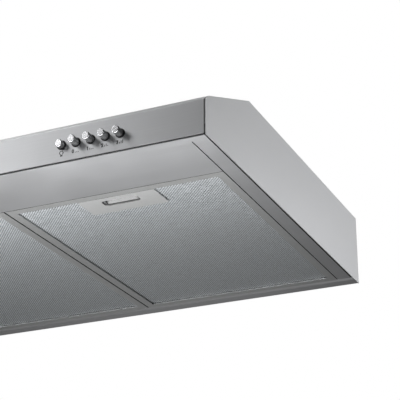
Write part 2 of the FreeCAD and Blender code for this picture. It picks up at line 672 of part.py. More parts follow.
def duct():
    """Elbow under the top, spigot above it, and two flaps that close by their own weight."""
    elbow = box(-66, 66, 346.0, 470.0, SCROLL_Z[0], HEIGHT - SHEET - 0.1)
    elbow = elbow.cut(box(-64, 64, 348.0, 468.0, SCROLL_Z[0] + 2, HEIGHT - SHEET - 2.1))
    cx = FAN_C[0]
    elbow = elbow.cut(box(cx + 46, cx + SCROLL_MAX, 344, 350, SCROLL_Z[0] + 2, SCROLL_Z[1]))
    elbow = elbow.cut(rod(DUCT_R - DUCT_WALL, (0, DUCT_Y, 60), (0, DUCT_Y, HEIGHT + 1)))
    for x, y in collar_screw_places():
        elbow = elbow.cut(rod(1.5, (x, y, 84), (x, y, HEIGHT)))
    keep("outlet_elbow", elbow)

    z = HEIGHT + 0.05
    collar = rod(80.0, (0, DUCT_Y, z), (0, DUCT_Y, z + 2.5)).fuse(rod(DUCT_R, (0, DUCT_Y, z), (0, DUCT_Y,
                                                                    HEIGHT + DUCT_TALL)))
    collar = collar.cut(rod(DUCT_R - DUCT_WALL, (0, DUCT_Y, HEIGHT - 1), (0, DUCT_Y, HEIGHT + 60)))
    ledge = tube(DUCT_R - 1, FLAP_R - 3.5, (0, DUCT_Y, FLAP_Z - 2.6), (0, DUCT_Y, FLAP_Z - 0.8))
    collar = collar.fuse(ledge)
    for s in (-1, 1):
        for x in (-1, 1):
            y = DUCT_Y + s * FLAP_PIN_OFFSET
            end = x * (DUCT_R - 0.5)
            start = x * (FLAP_R - 1.6)
            collar = collar.fuse(rod(2.6, (start, y, FLAP_Z), (end, y, FLAP_Z)))
            collar = collar.cut(rod(PIN_R + 0.03, (x * 50, y, FLAP_Z), (x * (DUCT_R - 0.7), y, FLAP_Z)))
    for x, y in collar_screw_places():
        collar = collar.cut(rod(1.7, (x, y, HEIGHT - 1), (x, y, HEIGHT + 5)))
    keep("duct_collar", collar.removeSplitter())
    screws = [screw((x, y, HEIGHT + 2.57), (0, 0, -1), 1.45, 9) for x, y in collar_screw_places()]
    keep("collar_screws", *screws)

    pins = []
    for s in (-1, 1):
        y = DUCT_Y + s * FLAP_PIN_OFFSET
        pins.append(rod(PIN_R, (-DUCT_R + 0.9, y, FLAP_Z), (DUCT_R - 0.9, y, FLAP_Z)))
    keep("flap_pins", *pins)
    keep("damper_flap_front", flap(-1))
    keep("damper_flap_rear", flap(1))


def flap(side):
    """Half disc that hangs on a pin near the middle of the spigot."""
    y = DUCT_Y + side * FLAP_PIN_OFFSET
    leaf = rod(FLAP_R, (0, DUCT_Y, FLAP_Z - 0.6), (0, DUCT_Y, FLAP_Z + 0.6))
    keep_y = (y, y + side * 100)
    leaf = leaf.common(box(-60, 60, min(keep_y), max(keep_y), FLAP_Z - 2, FLAP_Z + 2))
    for x in (-1, 1):
        near = sorted((x * 52.5, x * 60))
        leaf = leaf.cut(box(near[0], near[1], y - 4, y + 4, FLAP_Z - 3, FLAP_Z + 3))
    leaf = leaf.fuse(rod(2.3, (-52, y, FLAP_Z), (52, y, FLAP_Z)))
    return leaf.cut(rod(PIN_R + 0.05, (-60, y, FLAP_Z), (60, y, FLAP_Z))).removeSplitter()


def blanking_plate():
    plate = box(-BLANK_HALF_X, BLANK_HALF_X, DEPTH + 0.05, DEPTH + 1.05, BLANK_LOW, BLANK_HIGH)
    upright = [e for e in plate.Edges if abs(e.Vertexes[0].Y - e.Vertexes[1].Y) > 0.5]
    plate = plate.makeFillet(4.0, upright)
    for x, z in blank_screw_places():
        plate = plate.cut(rod(1.5, (x, DEPTH - 1, z), (x, DEPTH + 2, z)))
    keep("rear_blanking_plate", plate)


# ---- electrics ----
def electrics():
    (x0, x1), (y0, y1), (z0, z1) = BOX_X, BOX_Y, BOX_Z
    shell = box(x0, x1, y0, y1, z0 + 2, z1).cut(box(x0 + 2, x1 - 2, y0 + 2, y1 - 2, z0 + 1, z1 - 2))
    shell = shell.cut(rod(8.0, (CABLE_X, CABLE_Y, z1 - 5), (CABLE_X, CABLE_Y, z1 + 2)))
    for x in (135, 155, 175):
        shell = shell.cut(rod(3.4, (x, y0 - 1, 78), (x, y0 + 4, 78)))
    keep("junction_box", shell)
    cover = box(x0, x1, y0, y1, z0, z0 + 1.9)
    cover = cover.fuse(box(x0 + 2.2, x1 - 2.2, y0 + 2.2, y1 - 2.2, z0 + 1.5, z0 + 4))
    keep("junction_box_cover", cover.removeSplitter())
    block = box(128, 178, 415, 433, z1 - 18, z1 - 2.1)
    for i in range(5):
        block = block.cut(rod(2.6, (133 + 10 * i, 424, z1 - 20), (133 + 10 * i, 424, z1 - 9)))
    keep("terminal_block", block)
    gland = tube(7.9, 5.0, (CABLE_X, CABLE_Y, z1 - 4.5), (CABLE_X, CABLE_Y, HEIGHT + 1.6))
    gland = gland.fuse(tube(11.0, 5.0, (CABLE_X, CABLE_Y, HEIGHT + 0.05), (CABLE_X, CABLE_Y, HEIGHT + 1.6)))
    gland = gland.fuse(tube(10.0, 5.0, (CABLE_X, CABLE_Y, z1 - 5.5), (CABLE_X, CABLE_Y, z1 - 2.1)))
    keep("cable_gland", gland.removeSplitter())
    cx, cz, r = CAPACITOR
    cap = rod(r, (cx, 305, cz), (cx, 367, cz))
    ends = [e for e in cap.Edges if e.Length > 50 and abs(e.CenterOfMass.z - cz) < 0.1]
    keep("run_capacitor", cap.makeFillet(2.0, ends))
    clip = tube(r + 1.5, r + 0.1, (cx, 327, cz), (cx, 339, cz))
    clip = clip.cut(box(cx - 20, cx + 20, 320, 345, cz - 30, cz - 8))
    clip = clip.fuse(box(cx - 12, cx + 12, 327, 339, cz + r + 0.4, HEIGHT - SHEET - 0.1))
    keep("capacitor_clip", clip.removeSplitter())


def leads():
    z = 78.0
    keep("motor_lead", cable([(155, BOX_Y[0] + 1, z), (155, 345, z + 1), (135, 305, z + 4), (90, 285, z + 8),
                              (40, 270, z + 9), (-10, 258, z + 7.0), (-55.5, 252, z + 6)], 5.0))
    keep("lamp_lead", cable([(135, BOX_Y[0] + 1, z), (133, 345, z), (110, 300, z - 6), (75, 240, z - 14),
                             (55, 180, z - 22), (30, 130, z - 30), (-20, 100, z - 34), (-75, 86, z - 40),
                             (-120, 80, z - 44), (-140, 69, z - 51), (-140, 69, z - 56.5)], 5.0))
    keep("switch_lead", cable([(175, BOX_Y[0] + 1, z), (177, 345, z - 4), (186, 300, z - 14),
                               (180, 250, z - 20), (186, 200, z - 26), (180, 150, z - 34),
                               (172, 105, z - 42), (167, 72, z - 52), (166.1, 44, z - 56)], 6.0))


case()
filters()
keys()
lamp()
blower()
motor()
keep("impeller", impeller())
duct()
blanking_plate()
electrics()
leads()

os.makedirs("parts", exist_ok=True)
for old in os.listdir("parts"):
    if old.endswith(".step"):
        os.remove(os.path.join("parts", old))
for name, shape in PARTS.items():
    moved = shape.translated(V(0, -MOUNT_Y, -HEIGHT))
    if not moved.isValid():
        print("not valid:", name)
    moved.exportStep(f"parts/{name}.step")
print(len(PARTS), "nodes written")
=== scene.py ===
"""Looks, lights and camera for a slim under-cabinet range hood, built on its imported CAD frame.

Everything is in metres in the frame of the CAD: origin at the centre of the cabinet screws, +X right, +Y to
the wall, +Z up. Run as a script it builds the whole scene; registered, it gives one button for each group.
"""

import math

import bpy
from bpy.props import FloatProperty, FloatVectorProperty, PointerProperty
from mathutils import Matrix, Vector


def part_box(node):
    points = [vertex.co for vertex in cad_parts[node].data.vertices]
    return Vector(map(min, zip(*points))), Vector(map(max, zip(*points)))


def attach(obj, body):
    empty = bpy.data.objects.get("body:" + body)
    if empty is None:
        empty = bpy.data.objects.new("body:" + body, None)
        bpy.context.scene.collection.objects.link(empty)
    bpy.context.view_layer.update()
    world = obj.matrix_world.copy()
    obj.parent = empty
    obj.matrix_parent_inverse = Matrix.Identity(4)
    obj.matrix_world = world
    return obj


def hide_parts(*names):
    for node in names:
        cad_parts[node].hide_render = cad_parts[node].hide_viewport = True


bl_info = {
    "name": "Range hood looks",
    "version": (1, 0, 0),
    "blender": (4, 5, 0),
    "location": "View3D > Sidebar > Range hood",
    "description": "Finishes, filter meshes, push keys and stage for an under-cabinet range hood",
    "category": "Object",
}

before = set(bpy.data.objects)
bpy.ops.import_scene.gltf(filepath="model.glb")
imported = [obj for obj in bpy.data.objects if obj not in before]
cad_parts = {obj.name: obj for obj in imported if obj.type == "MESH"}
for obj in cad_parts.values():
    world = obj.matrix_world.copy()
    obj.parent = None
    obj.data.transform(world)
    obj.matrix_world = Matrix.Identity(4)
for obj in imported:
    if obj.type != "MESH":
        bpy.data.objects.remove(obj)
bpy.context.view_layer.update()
MM = 0.001
SIDES = ("left", "right")
KEYS = ("key_lamp", "key_off", "key_speed_1", "key_speed_2", "key_speed_3")


def linear(hex_code):
    """Turns an sRGB hex colour to linear red, green and blue."""
    values = [int(hex_code[i : i + 2], 16) / 255 for i in (0, 2, 4)]
    return tuple(v / 12.92 if v <= 0.04045 else ((v + 0.055) / 1.055) ** 2.4 for v in values)


# ---- node helper ----
def add(tree, kind, inputs=None, **settings):
    """Adds a node, sets its properties, and gives each named input a value or another node's output."""
    made = tree.nodes.new(kind)
    for key, value in settings.items():
        setattr(made, key, value)
    for key, value in (inputs or {}).items():
        if isinstance(value, bpy.types.NodeSocket):
            tree.links.new(value, made.inputs[key])
        else:
            made.inputs[key].default_value = value
    return made


def new_material(name):
    """An empty node material and its principled shader."""
    mat = bpy.data.materials.new(name)
    mat.use_nodes = True
    tree = mat.node_tree
    tree.nodes.clear()
    shader = add(tree, "ShaderNodeBsdfPrincipled")
    out = add(tree, "ShaderNodeOutputMaterial")
    tree.links.new(shader.outputs["BSDF"], out.inputs["Surface"])
    return mat, tree, shader


def place(tree, scale):
    """Object coordinates, scaled for each axis."""
    coords = add(tree, "ShaderNodeTexCoord")
    mapped = add(tree, "ShaderNodeMapping", {"Vector": coords.outputs["Object"], "Scale": scale})
    return mapped.outputs["Vector"]


def spread(tree, value, low, high, from_low=0.3, from_high=0.7):
    """A 0 to 1 texture value brought to the range low to high."""
    ends = {"Value": value, "From Min": from_low, "From Max": from_high, "To Min": low, "To Max": high}
    return add(tree, "ShaderNodeMapRange", ends).outputs["Result"]


def tint(tree, factor, dark, light):
    """A mix from dark to light, both linear colours."""
    mix = add(tree, "ShaderNodeMix", data_type="RGBA")
    tree.links.new(factor, mix.inputs["Factor"])
    for name, colour in (("A", dark), ("B", light)):
        socket = [s for s in mix.inputs if s.name == name and s.type == "RGBA"][0]
        socket.default_value = (*colour, 1)
    return [s for s in mix.outputs if s.type == "RGBA"][0]


def shade(colour, factor):
    return tuple(c * factor for c in colour)


def close_gaps(tree, colour, reach, clear_from=0.70):
    """Painted shade: darkens a colour where another surface stands within reach, as in seams, slits and
    folds.
    """
    near = add(tree, "ShaderNodeAmbientOcclusion", {"Distance": reach}, samples=12)
    clear = spread(tree, near.outputs["AO"], 0.02, 1, 0.34, clear_from)
    scaled = add(tree, "ShaderNodeVectorMath", {0: colour, "Scale": clear}, operation="SCALE")
    return scaled.outputs["Vector"]


# ---- materials ----
# reach of the painted shade in seams, slits and folds
GAP_SHADE_REACH = 6 * MM
GRAIN_WIDTH = 0.9 * MM      # a belt's scratches are 0.1 mm wide: drawn wider, so that they show
GRAIN_LENGTH = 70 * MM
BLOTCH = 60 * MM            # a sheet's soft clouds, from rolling
FOLD = 22 * MM              # the layers of a filter's pack lie in shallow waves, drawn only as patches of painted shade


def brushed_stainless(name, colour, along, roughness, contrast=0.05):
    """Ferritic stainless sheet, belt-brushed to a No. 4 finish: soft long streaks that smear reflections."""
    mat, tree, shader = new_material(name)
    fine, long = 1 / GRAIN_WIDTH, 1 / GRAIN_LENGTH
    scale = tuple(long if axis == along else fine for axis in "XYZ")
    streaks = add(tree, "ShaderNodeTexNoise", {"Vector": place(tree, scale), "Scale": 1.0, "Detail": 3.0,
                                               "Roughness": 0.65})
    cloud = add(tree, "ShaderNodeTexNoise", {"Vector": place(tree, (1 / BLOTCH,) * 3), "Scale": 1.0,
                                             "Detail": 2.0})
    streak, blotch = streaks.outputs["Fac"], cloud.outputs["Fac"]
    both = add(tree, "ShaderNodeMath", {0: spread(tree, streak, -1, 1), 1: 0.75}, operation="MULTIPLY")
    both = add(tree, "ShaderNodeMath", {0: both.outputs[0], 1: spread(tree, blotch, -0.35, 0.35)},
               operation="ADD").outputs[0]
    unit = spread(tree, both, 0, 1, -1.2, 1.2)
    face = tint(tree, unit, shade(colour, 1 - contrast), shade(colour, 1 + contrast))
    # painted shade: the colour darkens where another sheet stands close
    tree.links.new(close_gaps(tree, face, GAP_SHADE_REACH), shader.inputs["Base Color"])
    tree.links.new(spread(tree, both, roughness - 0.05, roughness + 0.06, -1.2, 1.2),
                   shader.inputs["Roughness"])
    bump = add(tree, "ShaderNodeBump", {"Height": streak, "Strength": 0.10, "Distance": 0.02 * MM})
    tree.links.new(bump.outputs["Normal"], shader.inputs["Normal"])
    shader.inputs["Metallic"].default_value = 1.0
    return mat


def rolled_metal(name, colour, roughness, size, contrast=0.06, bump=0.05, gap_shade=0.0):
    """Rolled, plated or drawn metal: fine even grain with faint cloudy patches, and painted shade near other
    surfaces when a gap reach is given.
    """
    mat, tree, shader = new_material(name)
    grain = add(tree, "ShaderNodeTexNoise", {"Vector": place(tree, (1 / size,) * 3), "Scale": 1.0,
                                             "Detail": 4.0, "Roughness": 0.6})
    grain = grain.outputs["Fac"]
    face = tint(tree, spread(tree, grain, 0, 1), shade(colour, 1 - contrast), shade(colour, 1 + contrast))
    # with a gap reach, painted shade darkens the colour near other surfaces
    tree.links.new(close_gaps(tree, face, gap_shade, 0.95) if gap_shade else face, shader.inputs["Base Color"])
    tree.links.new(spread(tree, grain, roughness - 0.04, roughness + 0.05), shader.inputs["Roughness"])
    raised = add(tree, "ShaderNodeBump", {"Height": grain, "Strength": bump, "Distance": 0.03 * MM})
    tree.links.new(raised.outputs["Normal"], shader.inputs["Normal"])
    shader.inputs["Metallic"].default_value = 1.0
    return mat


def moulded(name, colour, roughness, ior=1.5, size=0.8 * MM, contrast=0.08, bump=0.12):
    """Moulded plastic with a fine spark-eroded texture."""
    mat, tree, shader = new_material(name)
    grain = add(tree, "ShaderNodeTexNoise", {"Vector": place(tree, (1 / size,) * 3), "Scale": 1.0,
                                             "Detail": 2.0, "Roughness": 0.55})
    grain = grain.outputs["Fac"]
    tree.links.new(tint(tree, spread(tree, grain, 0, 1), shade(colour, 1 - contrast),
                        shade(colour, 1 + contrast)), shader.inputs["Base Color"])
    tree.links.new(spread(tree, grain, roughness - 0.05, roughness + 0.05), shader.inputs["Roughness"])
    raised = add(tree, "ShaderNodeBump", {"Height": grain, "Strength": bump, "Distance": 0.05 * MM})
    tree.links.new(raised.outputs["Normal"], shader.inputs["Normal"])
    shader.inputs["IOR"].default_value = ior
    return mat


def mesh_layers(name, colour):
    """Flattened foil mesh behind the face: a grey mass painted at under a tenth of the foil's colour,
    painted shade that only shows as darkness in the openings.
    """
    mat, tree, shader = new_material(name)
    folds = add(tree, "ShaderNodeTexNoise", {"Vector": place(tree, (1 / FOLD,) * 3), "Scale": 1.0,
                                             "Detail": 1.0})
    wave_shade = spread(tree, folds.outputs["Fac"], 0, 1)
    # painted shade: the foil's colour taken down to 7 to 10 percent
    tree.links.new(tint(tree, wave_shade, shade(colour, 0.07), shade(colour, 0.10)), shader.inputs["Base Color"])
    shader.inputs["Metallic"].default_value = 0.6
    shader.inputs["Roughness"].default_value = 0.6
    return mat


FINISHES = {}


def finish(kind):
    """The material for a finish, made once from the colours in the scene's settings."""
    if kind in FINISHES:
        return FINISHES[kind]
    c = bpy.context.scene.hood_colours
    steel, zinc = tuple(c.steel), tuple(c.zinc)
    makers = {
        "steel_along_x": lambda: brushed_stainless("stainless_brushed_across", steel, "X", 0.42),
        # the underside's copy of the stainless is painted 13% brighter than the rest of the case: painted
        # light
        "steel_underside": lambda: brushed_stainless("stainless_brushed_underside_lit", shade(steel, 1.13),
                                                     "X", 0.44, 0.04),
        "steel_along_y": lambda: brushed_stainless("stainless_brushed_front_to_back", steel, "Y", 0.44,
                                                   0.035),
        "latch_aluminium": lambda: rolled_metal("aluminium_satin_anodised", tuple(c.latch), 0.5, 1.4 * MM,
                                                0.03, 0.03, gap_shade=3 * MM),
        "frame_aluminium": lambda: rolled_metal("aluminium_rolled_mill", tuple(c.aluminium), 0.46, 1.6 * MM,
                                                0.05, gap_shade=4 * MM),
        "mesh_aluminium": lambda: rolled_metal("aluminium_expanded_foil", tuple(c.mesh), 0.56, 9 * MM, 0.03,
                                               0.02, gap_shade=2 * MM),
        "mesh_pack": lambda: mesh_layers("aluminium_flattened_layers_shaded", tuple(c.mesh)),
        # the slide takes the latch plate's colour at about a third: partly duller diecast zinc, partly
        # painted shade in its slot
        "scoop": lambda: rolled_metal("zinc_diecast_dull_shaded", shade(tuple(c.latch), 0.34), 0.62, 1.4 * MM, 0.05,
                                      0.05, gap_shade=4 * MM),
        "chrome": lambda: rolled_metal("chrome_on_abs_satin", tuple(c.chrome), 0.24, 40 * MM, 0.01, 0.0),
        "zinc": lambda: rolled_metal("steel_zinc_plated", zinc, 0.38, 1.2 * MM, 0.10, 0.08),
        "ground": lambda: rolled_metal("steel_ground", shade(zinc, 0.9), 0.28, 0.6 * MM, 0.08, 0.06),
        "black": lambda: moulded("polypropylene_black_moulded", tuple(c.black_plastic), 0.5),
        "foam": lambda: moulded("epdm_foam_black_cut", shade(tuple(c.black_plastic), 0.7), 0.85, 1.5,
                                0.6 * MM, 0.2, 0.3),
        "ring": lambda: moulded("abs_dark_grey_moulded", shade(tuple(c.black_plastic), 1.2), 0.42),
        "grey": lambda: moulded("polyamide_grey_moulded", tuple(c.grey_plastic), 0.48),
        "white": lambda: moulded("polycarbonate_white_moulded", tuple(c.white_plastic), 0.4, 1.58),
        "lens": lambda: moulded("acrylic_opal_moulded", tuple(c.lens), 0.28, 1.49, 1.5 * MM, 0.02, 0.05),
        "board": lambda: moulded("solder_mask_white_printed", tuple(c.white_plastic), 0.3, 1.55, 3 * MM,
                                 0.03, 0.03),
        "cable": lambda: moulded("pvc_black_extruded", tuple(c.black_plastic), 0.45, 1.53, 2 * MM, 0.1, 0.1),
        "ink": lambda: moulded("ink_black_screen_printed", tuple(c.ink), 0.55, 1.5, 0.5 * MM, 0.1, 0.05),
    }
    FINISHES[kind] = makers[kind]()
    return FINISHES[kind]


def paint_nodes(kind, *names):
    """Gives carried-over CAD nodes a finish."""
    for name in names:
        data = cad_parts[name].data
        data.materials.clear()
        data.materials.append(finish(kind))


def new_piece(name, verts, faces, kind, body, slot, smooth=False):
    """A mesh piece that rides on a body and takes the finish of its kind; the slot is not used."""
    mesh = bpy.data.meshes.new(name)
    mesh.from_pydata(verts, [], faces)
    mesh.validate()
    if smooth:
        mesh.shade_smooth()
    mesh.materials.append(finish(kind))
    piece = bpy.data.objects.new(name, mesh)
    bpy.context.scene.collection.objects.link(piece)
    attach(piece, body)
    return piece


def block(low, high):
    """A plain block between two corners, as points and faces."""
    verts = [(x, y, z) for x in (low.x, high.x) for y in (low.y, high.y) for z in (low.z, high.z)]
    return verts, [(0, 1, 3, 2), (4, 6, 7, 5), (0, 4, 5, 1), (2, 3, 7, 6), (0, 2, 6, 4), (1, 5, 7, 3)]


# ---- settings ----
def colour_setting(name, description, hex_code):
    return FloatVectorProperty(name=name, description=description, subtype="COLOR", size=3, min=0, max=1,
                               default=linear(hex_code))


def length_setting(name, description, default):
    return FloatProperty(name=name, description=description, default=default, min=0.01 * MM, max=1.0,
                         unit="LENGTH", subtype="DISTANCE", precision=5)


class HoodColours(bpy.types.PropertyGroup):
    """Colours of the hood's finishes"""

    steel: colour_setting("Stainless", "Brushed stainless sheet of the case", "C6C7C9")
    aluminium: colour_setting("Aluminium", "Rolled frame of each filter", "D6D7D7")
    mesh: colour_setting("Mesh", "Expanded aluminium foil of each filter", "E4E8EB")
    latch: colour_setting("Latch plate", "Satin plate let into each mesh", "E8E9E9")
    chrome: colour_setting("Chrome", "Plated push keys", "E6E7E9")
    zinc: colour_setting("Zinc", "Zinc-plated screws and brackets", "B4B8BC")
    black_plastic: colour_setting("Black plastic", "Scroll, spigot and switch", "1C1D1F")
    grey_plastic: colour_setting("Grey plastic", "Fan wheel and terminals", "7E8184")
    white_plastic: colour_setting("White plastic", "Lamp tray and junction box", "DADAD4")
    lens: colour_setting("Lamp lens", "Opal acrylic", "EEF0EF")
    ink: colour_setting("Ink", "Printed marks under the keys", "17181A")


class HoodSizes(bpy.types.PropertyGroup):
    """Sizes of the hood's fine details"""

    mesh_across: length_setting("Mesh pitch across", "Centre to centre of openings in a row", 3.7 * MM)
    mesh_along: length_setting("Mesh pitch along", "Centre to centre of openings, front to back", 4.0 * MM)
    opening: FloatProperty(name="Opening share", description="How much of each cell's width is open",
                           default=0.50, min=0.1, max=0.95, subtype="FACTOR")
    mesh_rise: length_setting("Strand rise", "How far each opening's edge stands above the bonds", 0.07 * MM)
    mark_height: length_setting("Mark height", "Height of the printed digits", 3.4 * MM)
    mark_stroke: length_setting("Mark stroke", "Width of a printed line", 0.85 * MM)
    mark_drop: length_setting("Mark drop", "From a key's axis down to the middle of its mark", 9.8 * MM)


# ---- filter meshes ----
PLATE_CLEAR = 0.6 * MM      # the foil stops this far short of the latch plate


def foil_cells(low, high, bay, sizes):
    """Diamond cells of expanded foil, staggered row by row and cut to half cells on the four edges."""
    columns = round((high.x - low.x) / sizes.mesh_across)
    rows = round((high.y - low.y) / (sizes.mesh_along / 2))
    px, py = (high.x - low.x) / columns, (high.y - low.y) / rows
    slack = 0.01 * MM
    verts, faces, bonds = [], [], {}

    def bond(row, half):
        key = (row, half)
        if key not in bonds:
            bonds[key] = len(verts)
            x = min(max(low.x + half * px / 2, low.x), high.x)
            y = min(max(low.y + row * py, low.y), high.y)
            verts.append((x, y, low.z))
        return bonds[key]

    for row in range(rows + 1):
        for column in range(columns + 1):
            half = 2 * column + (row % 2)
            cx, cy = low.x + half * px / 2, low.y + row * py
            inside_bay = bay[0] < cx < bay[1] and cy < bay[2]
            if cx > high.x + slack or inside_bay:
                continue
            outer = [bond(row, half - 1), bond(row - 1, half), bond(row, half + 1), bond(row + 1, half)]
            start = len(verts)
            ox, oy = px / 2 * sizes.opening, py * sizes.opening
            on_edge = cx - px < low.x or cx + px > high.x or cy - py < low.y or cy + py > high.y
            z = low.z if on_edge else low.z + sizes.mesh_rise
            for dx, dy in ((-ox, 0), (0, -oy), (ox, 0), (0, oy)):
                verts.append((min(max(cx + dx, low.x), high.x), min(max(cy + dy, low.y), high.y), z))
            for i in range(4):
                j = (i + 1) % 4
                (xi, yi, _), (xj, yj, _) = verts[outer[i]], verts[outer[j]]
                if abs(xi - xj) > slack and abs(yi - yj) > slack:
                    faces.append((outer[i], outer[j], start + j, start + i))
    return verts, faces


class HOOD_OT_filters(bpy.types.Operator):
    """Makes the expanded mesh of both grease filters and finishes their frames"""

    bl_idname = "hood.filters"
    bl_label = "Grease filters"

    def execute(self, context):
        sizes = context.scene.hood_sizes
        for side in SIDES:
            low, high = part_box(f"filter_face_{side}")
            plate_low, plate_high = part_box(f"latch_plate_{side}")
            bay = (plate_low.x - PLATE_CLEAR, plate_high.x + PLATE_CLEAR, plate_high.y + PLATE_CLEAR)
            verts, faces = foil_cells(low, high, bay, sizes)
            mesh = new_piece(f"filter_mesh_{side}", verts, faces, "mesh_aluminium", f"filter_{side}",
                             "aluminium_mesh")
            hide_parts(f"filter_face_{side}")
            paint_nodes("frame_aluminium", f"filter_frame_{side}")
            paint_nodes("mesh_pack", f"filter_core_{side}")
        return {"FINISHED"}


class HOOD_OT_latches(bpy.types.Operator):
    """Finishes the latch plates, slides and springs"""

    bl_idname = "hood.latches"
    bl_label = "Filter latches"

    def execute(self, context):
        for side in SIDES:
            paint_nodes("latch_aluminium", f"latch_plate_{side}")
            paint_nodes("scoop", f"latch_slide_{side}")
            paint_nodes("ground", f"latch_springs_{side}")
        return {"FINISHED"}


# ---- case and keys ----
SEAL_END_GAP = 1.1 * MM     # the seal stops this far inside the case's outer faces
SEAL_BEHIND = 1.05 * MM     # from the front panel's outer face: just behind its sheet
SEAL_CLEAR = 0.05 * MM      # in front of the base frame
SEAL_LOW, SEAL_HIGH = 0.3 * MM, 6 * MM      # its two edges, above the front panel's lower one


class HOOD_OT_case(bpy.types.Operator):
    """Finishes the sheet-metal case"""

    bl_idname = "hood.case"
    bl_label = "Case"

    def execute(self, context):
        paint_nodes("steel_along_x", "front_panel", "canopy_top", "rear_blanking_plate")
        paint_nodes("steel_underside", "back_panel", "base_frame")
        paint_nodes("steel_along_y", "side_panel_left", "side_panel_right")
        paint_nodes("zinc", "cabinet_stiffeners", "rear_screws")
        # a black foam strip fills the gap under the front panel; its black also stands in as painted shade
        # for the gap's dark line
        panel_low, frame_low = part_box("front_panel")[0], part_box("base_frame")[0]
        low = Vector((frame_low.x + SEAL_END_GAP, panel_low.y + SEAL_BEHIND, panel_low.z + SEAL_LOW))
        high = Vector((-low.x, frame_low.y - SEAL_CLEAR, panel_low.z + SEAL_HIGH))
        new_piece("front_seal", *block(low, high), "foam", "case", "black_plastic")
        return {"FINISHED"}


class HOOD_OT_keys(bpy.types.Operator):
    """Finishes the plated push keys, their rings and the switch behind"""

    bl_idname = "hood.keys"
    bl_label = "Push keys"

    def execute(self, context):
        paint_nodes("chrome", *KEYS)
        paint_nodes("ring", "key_guides")
        paint_nodes("black", "switch_housing")
        paint_nodes("zinc", "switch_bracket")
        paint_nodes("ground", "key_springs")
        return {"FINISHED"}


# ---- printed marks ----
INK_THICK = 0.02 * MM
INK_LIFT = 0.004 * MM       # the print's back stands clear of the sheet
BULB_SIZE = 1.7             # these four are in mark heights
DIGIT_LEFT = 1.45
BAR_START, BAR_PITCH = 1.25, 0.55
BAR_REST, BAR_FIRST, BAR_STEP = 0.08, 0.4, 0.3
# strokes of each digit: across and up, as a share of the mark's height
DIGIT_STROKES = {
    "0": [[(0.15, 0.25), (0.15, 0.75), (0.3, 1.0), (0.5, 1.0), (0.65, 0.75), (0.65, 0.25), (0.5, 0.0),
           (0.3, 0.0), (0.15, 0.25)]],
    "1": [[(0.2, 0.78), (0.45, 1.0), (0.45, 0.0)]],
    "2": [[(0.15, 0.8), (0.3, 1.0), (0.55, 1.0), (0.65, 0.8), (0.62, 0.6), (0.15, 0.0), (0.68, 0.0)]],
    "3": [[(0.15, 1.0), (0.65, 1.0), (0.38, 0.6), (0.6, 0.48), (0.65, 0.25), (0.5, 0.0), (0.28, 0.0),
           (0.14, 0.15)]],
}


def ribbon(points, width, y, thick):
    """A flat printed stroke facing the front, as points and faces, with a little body."""
    verts, faces = [], []
    for (ax, az), (bx, bz) in zip(points, points[1:]):
        along = Vector((bx - ax, bz - az)).normalized() * (width / 2)
        side = Vector((-along.y, along.x))
        a, b = Vector((ax, az)) - along, Vector((bx, bz)) + along
        start = len(verts)
        for depth in (y, y - thick):
            for p in (a + side, b + side, b - side, a - side):
                verts.append((p.x, depth, p.y))
        faces += [(start + 4, start + 5, start + 6, start + 7), (start + 3, start + 2, start + 1, start)]
        for i in range(4):
            j = (i + 1) % 4
            faces.append((start + i, start + j, start + 4 + j, start + 4 + i))
    return verts, faces


def joined(parts):
    """Several (points, faces) pairs as one."""
    verts, faces = [], []
    for v, f in parts:
        shift = len(verts)
        verts += v
        faces += [tuple(i + shift for i in face) for face in f]
    return verts, faces


def bulb_strokes(cx, cz, size):
    """Outline of a lamp: a round glass, open below, and two short lines for the cap."""
    glass, steps = 0.36 * size, 24
    ring = []
    for k in range(steps + 1):
        a = math.radians(-60 + 300 * k / steps)
        ring.append((cx + glass * math.cos(a), cz + 0.14 * size + glass * math.sin(a)))
    half = 0.17 * size
    caps = [[(cx - half, cz + z * size), (cx + half, cz + z * size)] for z in (-0.36, -0.52)]
    return [ring] + caps


class HOOD_OT_marks(bpy.types.Operator):
    """Prints a lamp mark and the digits 0 to 3 with speed bars under the keys"""

    bl_idname = "hood.marks"
    bl_label = "Printed marks"

    def execute(self, context):
        sizes = context.scene.hood_sizes
        face_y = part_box("front_panel")[0].y
        tall, stroke = sizes.mark_height, sizes.mark_stroke
        for i, key in enumerate(KEYS):
            low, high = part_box(key)
            cx, cz = (low.x + high.x) / 2, (low.z + high.z) / 2 - sizes.mark_drop
            if key == "key_lamp":
                strokes = bulb_strokes(cx, cz, tall * BULB_SIZE)
            else:
                speed = i - 1
                left, foot = cx - DIGIT_LEFT * tall, cz - 0.5 * tall
                strokes = [[(left + x * tall, foot + z * tall) for x, z in line]
                           for line in DIGIT_STROKES[str(speed)]]
                for bar in range(3):
                    x = left + (BAR_START + BAR_PITCH * bar) * tall
                    share = BAR_FIRST + BAR_STEP * bar if bar < speed else BAR_REST
                    strokes.append([(x, foot), (x, foot + share * tall)])
            verts, faces = joined([ribbon(line, stroke, face_y - INK_LIFT, INK_THICK) for line in strokes])
            new_piece(key.replace("key", "mark"), verts, faces, "ink", "case", "black_plastic")
        return {"FINISHED"}


class HOOD_OT_lamp(bpy.types.Operator):
    """Finishes the lamp's lens, tray and board"""

    bl_idname = "hood.lamp"
    bl_label = "Lamp"

    def execute(self, context):
        paint_nodes("lens", "lamp_lens")
        paint_nodes("white", "lamp_housing")
        paint_nodes("board", "led_board")
        return {"FINISHED"}


class HOOD_OT_blower(bpy.types.Operator):
    """Finishes the blower and the motor"""

    bl_idname = "hood.blower"
    bl_label = "Blower"

    def execute(self, context):
        paint_nodes("black", "scroll_floor", "scroll_wall", "scroll_upper", "inlet_guard")
        paint_nodes("grey", "impeller")
        paint_nodes("zinc", "motor_housing", "scroll_screws", "post_screws", "motor_screws", "blower_posts")
        paint_nodes("ground", "motor_shaft", "motor_bearings")
        return {"FINISHED"}


